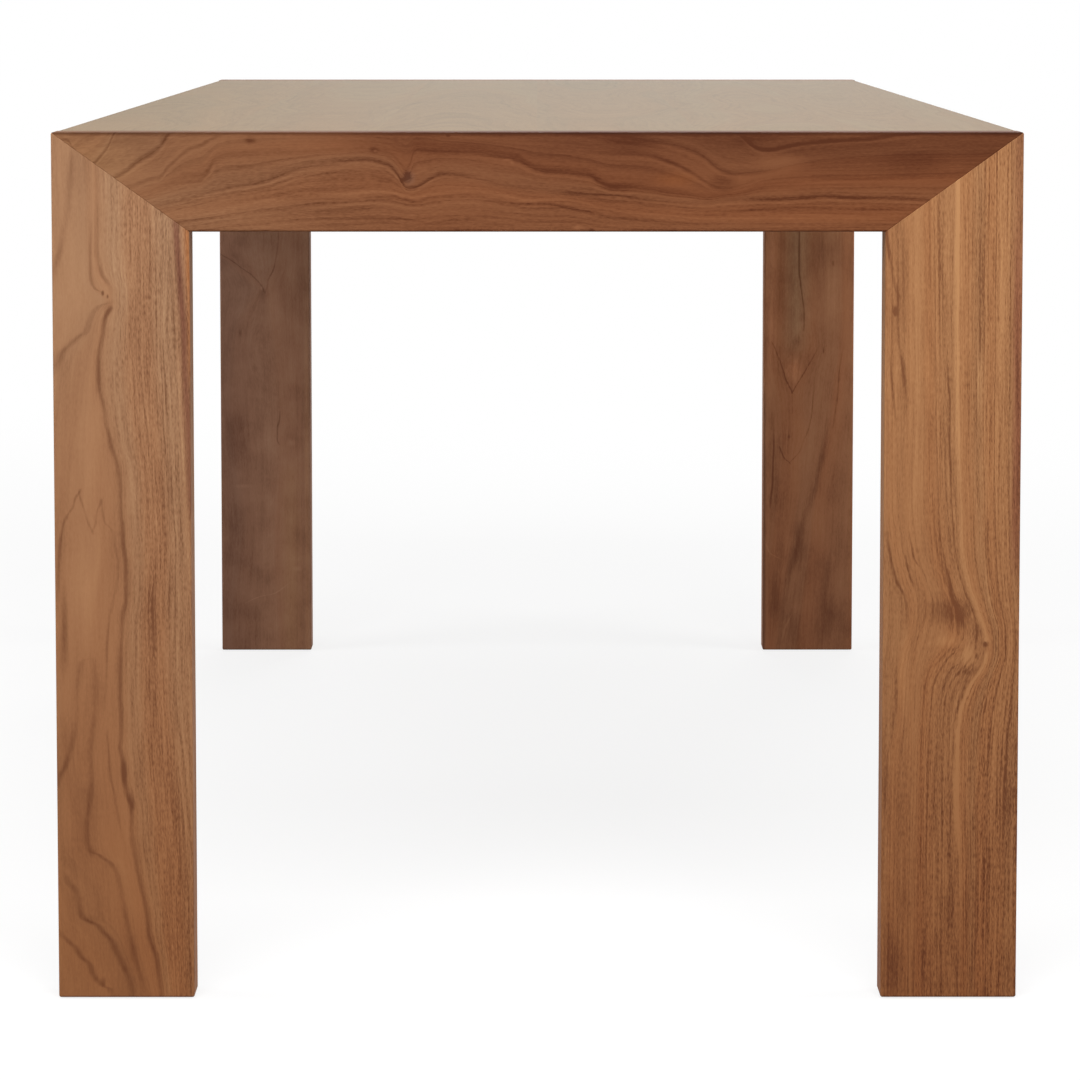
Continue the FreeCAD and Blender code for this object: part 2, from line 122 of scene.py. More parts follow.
class Wiring:
    """Shader nodes that are wired by plain calls. Each call gives the socket it makes."""

    def __init__(self, tree):
        self.tree = tree

    def node(self, kind, inputs, **settings):
        made = self.tree.nodes.new("ShaderNode" + kind)
        for name, value in settings.items():
            setattr(made, name, value)
        for slot, value in inputs.items():
            if isinstance(value, bpy.types.NodeSocket):
                self.tree.links.new(value, made.inputs[slot])
            else:
                made.inputs[slot].default_value = value
        return made

    def math(self, operation, *values):
        return self.node("Math", dict(enumerate(values)), operation=operation).outputs[0]

    def vector(self, operation, *values):
        made = self.node("VectorMath", dict(enumerate(values)), operation=operation)
        return made.outputs["Value" if operation == "LENGTH" else "Vector"]

    def total(self, first, *others):
        for other in others:
            first = self.math("ADD", first, other)
        return first

    def spread(self, value, low, high, to_low=0.0, to_high=1.0, smooth=False, clamp=True):
        """The value, taken from one range to another."""
        return self.node("MapRange", {0: value, 1: low, 2: high, 3: to_low, 4: to_high}, clamp=clamp,
                         interpolation_type="SMOOTHSTEP" if smooth else "LINEAR").outputs[0]

    def curve(self, value, points):
        """A smooth curve through (value, result) points."""
        made = self.node("FloatCurve", {"Value": value})
        mapping = made.mapping
        mapping.use_clip = False
        mapping.extend = "HORIZONTAL"
        # The curve is kept as a fine table over these limits.
        ends = sorted(x for x, y in points)
        mapping.clip_min_x, mapping.clip_max_x = ends[0], ends[-1]
        line = mapping.curves[0].points
        for number, (x, y) in enumerate(sorted(points)):
            point = line[number] if number < 2 else line.new(x, y)
            point.location = (x, y)
            point.handle_type = "AUTO_CLAMPED"
        mapping.update()
        return made.outputs[0]

    def noise(self, place, scale, detail=2.0, roughness=0.5, dimensions="3D"):
        slot = "W" if dimensions == "1D" else "Vector"
        inputs = {slot: place, "Scale": scale, "Detail": detail, "Roughness": roughness}
        return self.node("TexNoise", inputs, noise_dimensions=dimensions).outputs["Fac"]

    def noise_about_zero(self, place, scale, size, detail=2.0, roughness=0.5, dimensions="3D"):
        """Noise that runs from about -size to about size."""
        noise = self.noise(place, scale, detail, roughness, dimensions)
        return self.spread(noise, 0.25, 0.75, -size, size, clamp=False)

    def join(self, x, y, z):
        return self.node("CombineXYZ", {0: x, 1: y, 2: z}).outputs[0]

    def split(self, place):
        return self.node("SeparateXYZ", {0: place}).outputs

    def object_place(self):
        return self.node("TexCoord", {}).outputs["Object"]

    def ramp(self, value, stops):
        """Colours along a value, at (position, colour) stops."""
        made = self.node("ValToRGB", {"Fac": value})
        elements = made.color_ramp.elements
        for number, (position, colour) in enumerate(stops):
            element = elements[number] if number < 2 else elements.new(position)
            element.position = position
            element.color = (*colour, 1.0)
        return made.outputs["Color"]

    def blend(self, amount, first, second, kind="MIX"):
        """Two colours mixed, or with MULTIPLY the first one tinted with the second."""
        made = self.node("Mix", {0: amount, 6: first, 7: second}, data_type="RGBA", blend_type=kind)
        return made.outputs[2]


class Recipe(Wiring):
    """The wiring of one material."""

    def __init__(self, name):
        self.material = bpy.data.materials.new(name)
        self.material.use_nodes = True
        super().__init__(self.material.node_tree)
        self.shader = self.tree.nodes["Principled BSDF"]

    def finish(self, colour, roughness, height, depth, **constants):
        """Wire the shader: depth is how far, in metres, the height's whole range stands out."""
        bump = self.node("Bump", {"Height": height, "Distance": depth, "Strength": 1.0})
        for slot, socket in (("Base Color", colour), ("Roughness", roughness), ("Normal", bump.outputs[0])):
            self.tree.links.new(socket, self.shader.inputs[slot])
        for slot, value in constants.items():
            self.shader.inputs[slot.replace("_", " ")].default_value = value
        return self.material


def scaled(colour, ratio):
    return tuple(part * factor for part, factor in zip(colour, ratio))


# ==== Walnut ====

class Plank:
    """The growth rings of one plank, as a solid pattern.

    across and through are the plank's width and thickness, along is its length. Lines and marks
    are drawn on the plank's face in mm, with their strengths in percent.
    """
    axes = {"upright": (0, 1, 2), "crosswise": (2, 1, 0), "lengthwise": (0, 2, 1), "on_edge": (2, 0, 1)}

    def __init__(self, name, grain, seed):
        self.recipe = Recipe(name)
        self.seed = seed
        place = self.recipe.split(self.recipe.object_place())
        self.across, self.through, self.along = (place[axis] for axis in self.axes[grain])
        self.marks = []
        self.tints = []
        self.busy = None

    def drawn_out(self, across, stretch):
        """A place for a pattern that runs along the grain."""
        along = self.recipe.math("MULTIPLY_ADD", self.along, stretch, self.seed)
        return self.recipe.join(across, self.through, along)

    def fuzz(self, size):
        """The ragged edge, in metres, that the fibres give to every line."""
        place = self.drawn_out(self.across, fuzz_stretch)
        return self.recipe.noise_about_zero(place, fuzz_scale, size, detail=3.0, roughness=0.65)

    def drawn_rings(self, face, lean, lines):
        """Rings that follow lines drawn on a face. A line is (ring number, [(along, across), ...])."""
        recipe = self.recipe
        depth = recipe.math("SUBTRACT", self.through, face)
        sway = recipe.noise_about_zero(recipe.join(self.seed, depth, self.along), 3.5, 0.3)
        level = recipe.math("MULTIPLY_ADD", depth, recipe.math("ADD", sway, lean), self.across)
        self.level = recipe.math("ADD", level, self.fuzz(0.9 * MM))
        paths = [recipe.curve(self.along, [(along * MM, across * MM) for along, across in line])
                 for number, line in lines]
        rings = [number for number, line in lines]
        self.paths = dict(zip(rings, paths))
        last = len(lines) - 2
        total = float(rings[0])
        for step in range(last + 1):
            gained = rings[step + 1] - rings[step]
            inside = 0 < step < last
            share = recipe.spread(self.level, paths[step], paths[step + 1], 0.0, gained, clamp=inside)
            if step == 0:
                share = recipe.math("MINIMUM", share, gained)
            elif step == last:
                share = recipe.math("MAXIMUM", share, 0.0)
            total = recipe.math("ADD", total, share)
        self.rings = total
        self.ring_width = abs(lines[-2][1][0][1] - lines[1][1][0][1]) * MM / max(rings[-2] - rings[1], 1)

    def log_rings(self, heart, ring_width, taper, wander=0.006):
        """Rings about a heart at (across, through), in metres, that opens with the length."""
        recipe = self.recipe
        shift = recipe.join(self.seed * 3.7, self.seed * 1.3, recipe.math("MULTIPLY", self.along, 2.2))
        sway = recipe.noise_about_zero(shift, 1.0, wander * 3.0)
        dip = recipe.noise_about_zero(recipe.vector("ADD", shift, (7.0, 0.0, 3.0)), 0.8, wander * 2.2)
        level = recipe.total(self.across, -heart[0], sway)
        depth = recipe.total(self.through, -heart[1], dip)
        outline = recipe.noise_about_zero(recipe.join(
            recipe.math("MULTIPLY", self.across, 9.0), recipe.math("MULTIPLY", self.through, 9.0),
            recipe.math("MULTIPLY_ADD", self.along, 3.0, self.seed)), 1.0, wander * 0.8)
        radius = recipe.math("SQRT", recipe.total(recipe.math("MULTIPLY", level, level),
                                                  recipe.math("MULTIPLY", depth, depth)))
        opened = recipe.math("MULTIPLY", self.along, taper)
        grown = recipe.total(radius, opened, outline, self.fuzz(0.7 * MM))
        self.level = self.across
        self.rings = recipe.math("DIVIDE", grown, ring_width)
        self.ring_width = ring_width

    def nearness(self, along, across, half_length, half_width):
        """1 at a point of the face and 0 from an ellipse outwards."""
        recipe = self.recipe
        lengthwise = recipe.spread(self.along, along * MM, (along + half_length) * MM, clamp=False)
        sideways = recipe.spread(self.level, across * MM, (across + half_width) * MM, clamp=False)
        distance = recipe.vector("LENGTH", recipe.join(lengthwise, sideways, 0.0))
        return recipe.spread(distance, 0.0, 1.0, 1.0, 0.0, smooth=True)

    def swell(self, along, across, half_length, half_width, rings):
        """Rings pushed aside about a point, which makes arches above and below it."""
        near = self.nearness(along, across, half_length, half_width)
        self.rings = self.recipe.math("MULTIPLY_ADD", near, rings, self.rings)

    def spots(self, places):
        """Dark cores, as of knots, and pale patches where the darkness is negative.

        A place is (along, across, half length, half width, darkness).
        """
        for along, across, half_length, half_width, darkness in places:
            near = self.nearness(along, across, half_length, half_width)
            self.marks.append(self.recipe.math("MULTIPLY", near, -darkness * PERCENT))

    def beside(self, path, half_width, strengths):
        """The strength on a path and 0 from half_width outwards."""
        recipe = self.recipe
        strength = recipe.curve(self.along, [(along * MM, value * PERCENT) for along, value in strengths])
        distance = recipe.math("ABSOLUTE", recipe.math("SUBTRACT", self.level, path))
        near = recipe.spread(distance, 0.0, half_width * MM, 1.0, 0.0, smooth=True)
        return recipe.math("MULTIPLY", near, strength)

    def streak_mask(self, half_width, points):
        line = [(along * MM, across * MM) for along, across, strength in points]
        path = self.recipe.curve(self.along, line)
        return self.beside(path, half_width, [(along, strength) for along, across, strength in points])

    def streak(self, half_width, points):
        """A dark line along (along, across, strength) points, or a pale one below zero."""
        self.marks.append(self.recipe.math("MULTIPLY", self.streak_mask(half_width, points), -1.0))

    def trace(self, ring, half_width, strengths, pale=0.0):
        """A dark line on a drawn ring, with its strength at (along, strength) points.

        pale is the strength, as a share, of the light line that runs beside it.
        """
        mask = self.beside(self.paths[ring], half_width, strengths)
        self.marks.append(self.recipe.math("MULTIPLY", mask, -1.0))
        if pale:
            path = self.recipe.math("SUBTRACT", self.paths[ring], half_width * 1.1 * MM)
            mask = self.beside(path, half_width * 0.8, strengths)
            self.marks.append(self.recipe.math("MULTIPLY", mask, pale))

    def stained_streak(self, half_width, points, ratio):
        """A streak of another colour, as of sapwood."""
        self.tints.append((self.streak_mask(half_width, points), ratio))

    def stain(self, along, across, half_length, half_width, ratio):
        self.tints.append((self.nearness(along, across, half_length, half_width), ratio))

    def deepen(self, start, end, ratio, low=None, high=None):
        """The colour is darkened along the wood, from none at start to the ratio at end; on the legs this is
        partly painted shade.

        With low and high it changes across the wood as well.
        """
        mask = self.recipe.spread(self.along, start * MM, end * MM)
        if low is not None:
            mask = self.recipe.math("MULTIPLY", mask, self.recipe.spread(self.across, low * MM, high * MM))
        self.tints.append((mask, ratio))

    def painted_shade_on_edge(self, top_ratio, arris_ratio):
        """Painted shade on the rail's edge: its top face is painted darker, and its front arris most."""
        recipe = self.recipe
        top = recipe.spread(self.across, top_level - 2.5 * MM, top_level - 0.8 * MM)
        self.tints.append((top, top_ratio))
        front = recipe.spread(self.through, front_face + 2.8 * MM, front_face + 0.8 * MM)
        arris = recipe.spread(self.across, top_level - 2.1 * MM, top_level - 1.1 * MM)
        self.tints.append((recipe.math("MULTIPLY", arris, front), arris_ratio))

    def calm(self, shares, along=None):
        """The share of the fine grain that shows, at (ring number, share) points.

        It is multiplied by the share at (along, share) points, where these are given.
        """
        self.busy = self.recipe.curve(self.rings, shares)
        if along:
            lengthwise = self.recipe.curve(self.along, [(place * MM, share) for place, share in along])
            self.busy = self.recipe.math("MULTIPLY", self.busy, lengthwise)

    def oiled(self, tone, bands=0.20, stripes=0.20, lines=0.24, fibres=0.20, dashes=0.24, clouds=0.10,
              cloud_stretch=0.30, roughness=0.7, depth=0.00003, shine=satin_level, **wax):
        """The colour, gloss and grain of the rings in an oiled satin finish."""
        recipe = self.recipe
        rings = recipe.total(self.rings, self.seed * 17.0)

        # Broad bands of a few rings each, and a thin dark line where some rings end.
        band = recipe.noise_about_zero(rings, band_scale, bands, detail=2.0, roughness=0.55, dimensions="1D")
        ring_end = recipe.spread(recipe.math("FRACT", rings), 0.35, 0.95, smooth=True)
        after = recipe.spread(recipe.math("FRACT", rings), 0.95, 1.0, 1.0, 0.0, smooth=True)
        weight = recipe.spread(recipe.noise(rings, line_scale, 1.0, dimensions="1D"), 0.38, 0.66, 0.08, 1.0)
        line = recipe.math("MULTIPLY", recipe.math("MULTIPLY", ring_end, after), weight)

        # Stripes follow the rings. Fibres and the pores' short dashes bend with them.
        stripe_place = recipe.join(rings, 0.0, recipe.math("MULTIPLY_ADD", self.along, 4.0, self.seed))
        stripe = recipe.noise_about_zero(stripe_place, stripe_scale, stripes, detail=2.0, roughness=0.6)
        bent = recipe.math("MULTIPLY_ADD", self.rings, self.ring_width * 0.5,
                           recipe.math("MULTIPLY", self.level, 0.5))
        fibre = recipe.noise_about_zero(self.drawn_out(bent, fibre_stretch), fibre_scale, fibres,
                                        detail=2.0, roughness=0.6)
        dash = recipe.noise_about_zero(self.drawn_out(bent, dash_stretch), dash_scale, dashes, detail=1.0)
        fine = recipe.total(stripe, fibre, dash)
        if self.busy:
            fine = recipe.math("MULTIPLY", fine, self.busy)
            line = recipe.math("MULTIPLY", line, self.busy)
        cloud = recipe.noise_about_zero(self.drawn_out(self.level, cloud_stretch), cloud_scale, clouds,
                                        detail=3.0)

        tone_place = recipe.total(band, fine, cloud, *self.marks)
        tone_place = recipe.math("MULTIPLY_ADD", line, -lines, tone_place)
        colour = recipe.ramp(recipe.math("ADD", tone_place, 0.5), [
            (0.0, scaled(tone, dark_ratio)), (0.5, tone), (1.0, scaled(tone, light_ratio))])
        flush_place = recipe.total(rings, 31.0)
        flush = recipe.spread(recipe.noise(flush_place, flush_scale, 1.5, dimensions="1D"), 0.38, 0.62)
        for mask, ratio in [(flush, flush_ratio), *self.tints]:
            colour = recipe.blend(mask, colour, (*ratio, 1.0), "MULTIPLY")
        gloss = recipe.math("MULTIPLY_ADD", fine, -0.10, roughness)
        return recipe.finish(colour, gloss, fine, depth, Specular_IOR_Level=shine, **wax)


def front_left_leg():
    """Two pin knots high up, arches below them, and straight grain along the inner edge."""
    plank = Plank("walnut_front_left_leg", "upright", 1.0)
    plank.drawn_rings(front_face, 0.55, [
        (-4, [(0, -470), (760, -470)]),
        (0, [
            (4, -353), (24, -360), (37, -367), (50, -372), (59, -379), (65, -386), (71, -397), (79, -400),
            (91, -403), (103, -411), (109, -418), (116, -426), (122, -433), (498, -433), (533, -428),
            (554, -419), (567, -412), (576, -404), (582, -397), (589, -390), (603, -385), (610, -379),
            (615, -376), (625, -385), (645, -390), (678, -393), (708, -394), (761, -397)]),
        (2, [
            (4, -342), (17, -347), (45, -355), (70, -360), (92, -364), (111, -369), (121, -374),
            (126, -383), (133, -391), (157, -397), (192, -400), (227, -404), (262, -409), (306, -414),
            (350, -416), (385, -416), (420, -412), (455, -409), (490, -404), (525, -397), (560, -391),
            (581, -386), (596, -382), (607, -377), (613, -372), (619, -376), (627, -383), (645, -387),
            (678, -386), (708, -386), (761, -389)]),
        (5, [
            (7, -330), (22, -332), (35, -334), (48, -338), (61, -341), (74, -342), (87, -344), (100, -347),
            (114, -350), (131, -353), (149, -355), (170, -355), (179, -358), (197, -361), (212, -362),
            (223, -364), (236, -363), (253, -363), (271, -364), (288, -364), (310, -363), (323, -362),
            (339, -361), (354, -358), (385, -358), (402, -360), (420, -361), (437, -362), (450, -362),
            (463, -363), (474, -365), (485, -369), (497, -371), (507, -374), (522, -376), (533, -379),
            (542, -380), (560, -380), (573, -379), (586, -376), (596, -375), (604, -372), (609, -369),
            (616, -369), (623, -369), (630, -372), (636, -376), (647, -379), (660, -381), (678, -380),
            (717, -380), (761, -382)]),
        (11, [
            (7, -316), (35, -318), (70, -320), (105, -322), (140, -324), (175, -327), (210, -330),
            (245, -332), (280, -333), (315, -334), (350, -334), (376, -332), (402, -331), (437, -333),
            (481, -336), (525, -341), (568, -344), (612, -345), (678, -345), (761, -345)]),
        (15, [
            (7, -299), (70, -300), (114, -301), (149, -303), (175, -305), (214, -308), (245, -312),
            (280, -315), (315, -315), (367, -315), (402, -314), (437, -316), (481, -318), (525, -320),
            (568, -323), (612, -324), (678, -323), (761, -323)]),
        (18, [
            (7, -286), (175, -290), (262, -293), (350, -295), (402, -299), (437, -301), (481, -303),
            (525, -305), (568, -307), (612, -308), (678, -309), (761, -309)]),
        (30, [(760, -240), (0, -230)]),
    ])
    plank.calm([(-4, 0.28), (2, 0.28), (5, 0.34), (7, 0.85), (11, 1.15), (30, 1.15)])
    plank.swell(223, -400, 82, 17, 1.5)
    plank.swell(398, -393, 40, 24, -0.9)
    plank.spots([
        (621, -376, 3.6, 2.2, 75), (618, -372, 3, 1.8, 60), (607, -372, 9, 6, 20), (201, -361, 16, 5, 30),
        (175, -355, 14, 5, 26), (70, -391, 7, 10, 16), (15, -381, 7, 4, 30), (328, -412, 58, 5, 34),
        (358, -391, 80, 28, -22), (603, -400, 70, 26, -11), (271, -412, 50, 16, -12),
        (498, -397, 90, 28, -13), (175, -407, 70, 14, -12), (350, -339, 44, 12, 12)])
    plank.trace(5, 4.0, [
        (7, 25), (22, 28), (48, 39), (87, 37), (114, 33), (131, 28), (149, 28), (170, 32), (179, 42),
        (197, 44), (212, 40), (236, 37), (253, 40), (271, 39), (310, 30), (323, 23), (339, 30), (354, 37),
        (367, 33), (385, 39), (420, 33), (437, 25), (450, 28), (474, 28), (485, 33), (497, 35), (507, 21),
        (522, 28), (533, 30), (542, 37), (560, 39), (573, 33), (586, 35), (596, 46), (604, 53), (609, 33),
        (616, 14), (623, 18), (630, 30), (636, 35), (647, 25), (660, 21), (678, 18), (743, 5)])
    plank.streak(2.4, [
        (621, -376, 0), (623, -380, 16), (625, -383, 26), (631, -386, 26), (643, -387, 23), (660, -387, 19),
        (675, -386, 12), (686, -386, 0)])
    plank.streak(4.8, [
        (621, -421, 0), (636, -419, 14), (649, -416, 21), (660, -412, 18), (678, -409, 16), (704, -405, 14),
        (726, -403, 16), (745, -401, 5)])
    plank.streak(5.4, [
        (542, -422, 0), (554, -418, 16), (563, -414, 26), (570, -411, 29), (577, -404, 26), (583, -397, 31),
        (588, -391, 23), (596, -388, 23), (605, -384, 23), (610, -379, 20), (613, -371, 8), (618, -369, 0)])
    plank.streak(2.2, [
        (350, -418, 0), (367, -417, 18), (385, -416, 25), (402, -415, 30), (415, -413, 26), (427, -409, 23),
        (434, -404, 21), (443, -401, 30), (448, -398, 30), (451, -397, 0)])
    plank.streak(1.9, [
        (410, -386, 0), (413, -387, 23), (420, -390, 23), (430, -393, 19), (442, -397, 26), (449, -398, 0)])
    plank.streak(1.9, [(412, -387, 0), (421, -384, 21), (430, -383, 16), (437, -380, 21), (442, -379, 0)])
    plank.streak(2.2, [
        (253, -378, 0), (271, -377, 14), (293, -376, 19), (315, -375, 21), (341, -372, 18), (354, -369, 12),
        (367, -366, 14), (385, -365, 18), (398, -367, 18), (414, -370, 11), (421, -376, 16),
        (430, -378, 18), (444, -379, 0)])
    plank.streak(4.4, [
        (184, -421, 0), (197, -417, 23), (208, -412, 29), (218, -409, 21), (232, -405, 21), (245, -403, 19),
        (271, -401, 17), (290, -399, 17), (299, -397, 13), (302, -391, 0)])
    plank.streak(4.4, [
        (124, -390, 0), (132, -391, 16), (140, -394, 21), (153, -394, 23), (170, -392, 23), (184, -390, 23),
        (201, -389, 19), (214, -390, 21), (232, -389, 23), (249, -387, 19), (262, -386, 11),
        (297, -387, 10), (304, -390, 0)])
    plank.streak(4.6, [
        (14, -347, 8), (24, -349, 16), (37, -353, 15), (48, -355, 20), (61, -358, 15), (77, -362, 21),
        (92, -364, 18), (103, -366, 22), (114, -369, 22), (121, -374, 26), (125, -380, 22), (128, -384, 26),
        (130, -389, 21), (135, -393, 0)])
    plank.streak(2.2, [
        (135, -362, 0), (149, -364, 14), (164, -367, 18), (179, -369, 18), (197, -373, 23), (223, -375, 23),
        (240, -376, 0)])
    plank.streak(5.6, [
        (7, -355, 20), (16, -357, 22), (25, -361, 26), (33, -365, 28), (42, -369, 32), (50, -372, 32),
        (56, -377, 34), (60, -381, 32), (65, -385, 30), (68, -391, 32), (72, -398, 32), (80, -401, 28),
        (91, -403, 21), (98, -406, 26), (104, -411, 20), (112, -414, 0)])
    plank.streak(5.0, [
        (4, -373, 8), (9, -376, 22), (11, -381, 25), (16, -386, 31), (23, -390, 33), (31, -393, 31),
        (37, -400, 31), (45, -405, 29), (51, -411, 25), (58, -418, 15), (65, -423, 0)])
    plank.streak(6.0, [
        (297, -334, 0), (318, -335, 18), (341, -334, 21), (358, -334, 19), (380, -332, 14), (402, -330, 0)])
    plank.stained_streak(5.5, [
        (425, -300, 0), (446, -301, 80), (472, -302, 80), (498, -303, 85), (525, -304, 90), (546, -305, 85),
        (568, -306, 90), (586, -306, 95), (612, -308, 100), (647, -310, 100), (675, -312, 90),
        (695, -313, 70)], (0.54, 0.40, 0.43))
    plank.stained_streak(5.5, [
        (533, -299, 0), (577, -300, 80), (612, -300, 90), (656, -302, 100),
        (708, -303, 90)], (1.10, 0.84, 0.60))
    # Darker towards the floor: partly the leg's own tone, partly painted shade where less light reaches low
    # down.
    plank.deepen(720, 40, (0.80, 0.61, 0.44))
    return plank.oiled(leg_tone["front_left"], bands=0.12, stripes=0.18, lines=0.18, fibres=0.23,
                       dashes=0.23, clouds=0.18)


def front_right_leg():
    """Straight grain that swings round a knot low down."""
    plank = Plank("walnut_front_right_leg", "upright", 2.0)
    plank.drawn_rings(front_face, -0.6, [
        (-6, [(0, 262), (760, 262)]),
        (0, [
            (7, 305), (175, 306), (223, 307), (239, 311), (262, 313), (293, 314), (310, 318), (328, 322),
            (350, 321), (363, 317), (376, 312), (392, 307), (411, 304), (437, 301), (507, 299), (612, 298),
            (761, 297)]),
        (5, [
            (7, 323), (175, 324), (227, 326), (253, 327), (280, 327), (302, 329), (319, 333), (337, 339),
            (352, 340), (369, 335), (386, 329), (406, 325), (437, 322), (525, 324), (678, 322),
            (761, 320)]),
        (10, [
            (7, 336), (175, 337), (227, 338), (262, 340), (280, 342), (293, 347), (302, 353), (310, 361),
            (325, 368), (341, 367), (357, 361), (378, 354), (406, 348), (455, 345), (525, 343), (678, 340),
            (761, 338)]),
        (14, [
            (7, 355), (227, 355), (262, 356), (278, 361), (288, 368), (297, 376), (310, 383), (325, 384),
            (343, 380), (360, 373), (386, 366), (420, 362), (472, 359), (525, 357), (678, 355),
            (761, 355)]),
        (16, [
            (7, 370), (61, 370), (131, 369), (184, 367), (232, 367), (246, 368), (258, 370), (268, 374),
            (280, 379), (290, 386), (302, 391), (315, 392), (325, 390), (340, 385), (354, 380), (369, 375),
            (393, 370), (437, 368), (498, 365), (675, 363), (761, 362)]),
        (24, [
            (7, 386), (175, 386), (227, 388), (262, 392), (288, 399), (306, 404), (323, 404), (350, 398),
            (385, 394), (437, 392), (525, 391), (761, 391)]),
        (31, [
            (7, 413), (227, 415), (280, 419), (315, 420), (350, 418), (385, 415), (525, 413), (761, 413)]),
        (38, [(0, 450), (760, 450)]),
    ])
    plank.calm([(-6, 0.7), (0, 0.7), (8, 0.75), (13, 1.1), (16, 0.95), (19, 1.05), (24, 1.3), (38, 1.3)],
               [(0, 1.75), (150, 1.6), (300, 1.25), (420, 1.0), (760, 1.0)])
    plank.spots([
        (605, 310, 6.5, 3.2, 70), (314, 391, 4, 4, 55), (304, 383, 4, 3, 40), (318, 391, 2.6, 2.2, -90),
        (304, 376, 12, 10, -52), (317, 359, 10, 17, -36), (343, 350, 20, 20, 34), (342, 368, 20, 19, 44),
        (325, 382, 14, 11, 30), (290, 373, 7, 16, 26), (297, 320, 55, 10, -24), (634, 311, 110, 22, 20),
        (262, 321, 60, 14, -10), (30, 311, 50, 8, 42), (643, 363, 110, 7, -16), (44, 397, 60, 16, -12),
        (83, 324, 30, 11, 22), (39, 348, 40, 16, 16), (192, 304, 44, 6, 30)])
    plank.streak(2.6, [
        (503, 320, 0), (525, 320, 20), (540, 319, 30), (549, 318, 44), (563, 316, 34), (573, 314, 16),
        (596, 312, 10), (616, 312, 26), (627, 310, 32), (640, 307, 20), (651, 305, 30), (664, 303, 50),
        (682, 301, 40)])
    plank.streak(2.0, [(503, 312, 0), (520, 310, 24), (538, 308, 30), (560, 306, 20), (573, 304, 0)])
    plank.streak(2.4, [
        (319, 321, 0), (332, 322, 24), (350, 321, 34), (357, 319, 36), (365, 315, 44), (376, 311, 40),
        (392, 307, 44), (404, 305, 34), (420, 303, 0)])
    plank.streak(2.4, [
        (131, 304, 0), (166, 304, 20), (197, 305, 30), (218, 306, 34), (232, 309, 36), (245, 311, 36),
        (262, 313, 40), (280, 313, 40), (297, 314, 26), (312, 318, 0)])
    plank.streak(1.8, [(382, 332, 0), (389, 328, 40), (399, 326, 36), (415, 322, 0)])
    plank.streak(2.0, [(364, 327, 0), (373, 325, 34), (383, 322, 34), (393, 320, 0)])
    plank.streak(5.0, [(568, 350, 0), (594, 349, 10), (625, 350, 20), (656, 348, 24), (686, 348, 16)])
    plank.streak(1.6, [
        (446, 360, 0), (474, 359, 34), (498, 358, 40), (525, 358, 44), (546, 356, 34), (577, 355, 0)])
    plank.streak(2.6, [
        (323, 375, 0), (334, 370, 20), (344, 366, 44), (354, 362, 48), (369, 359, 24), (385, 356, 0)])
    plank.streak(4.0, [(551, 383, 0), (581, 384, 24), (612, 384, 28), (647, 383, 24), (686, 383, 16)])
    plank.trace(16, 3.3, [
        (35, 0), (61, -22), (96, -34), (122, -42), (149, -76), (175, -78), (210, -80), (245, -92),
        (271, -92), (290, -70), (306, -60), (314, 0), (319, -74), (341, -60), (367, -52), (393, -44),
        (437, -38), (498, -42), (568, -40), (612, -56), (675, -54), (761, -30)])
    plank.streak(1.8, [
        (246, 372, 0), (259, 375, -26), (269, 378, -36), (281, 383, -36), (291, 389, -30), (302, 393, 0)])
    plank.streak(1.6, [(260, 373, 0), (269, 376, 30), (279, 381, 34), (289, 387, 34), (297, 391, 0)])
    plank.streak(2.2, [
        (114, 359, 0), (140, 360, 24), (166, 361, 28), (197, 362, 20), (223, 363, 30), (243, 364, 28),
        (255, 366, 30), (267, 369, 34), (277, 372, 36), (287, 376, 30), (295, 382, 0)])
    plank.streak(2.6, [
        (236, 350, 0), (257, 352, 14), (267, 353, 26), (278, 355, 30), (287, 358, 40), (293, 362, 44),
        (297, 367, 10), (302, 369, 0)])
    plank.streak(2.4, [(253, 340, 0), (271, 341, -20), (283, 344, -26), (294, 348, -26), (302, 355, 0)])
    plank.streak(3.0, [(551, 399, 0), (581, 401, -16), (612, 402, -20), (647, 401, -24), (686, 401, -14)])
    plank.stained_streak(8.0, [
        (367, 417, 0), (420, 416, 80), (507, 417, 90), (586, 416, 90), (686, 416, 40)], (0.64, 0.47, 0.53))
    # Darker towards the floor: partly the leg's own tone, partly painted shade where less light reaches low
    # down.
    plank.deepen(560, 40, (0.63, 0.50, 0.41))
    return plank.oiled(leg_tone["front_right"], bands=0.13, lines=0.20, dashes=0.22)


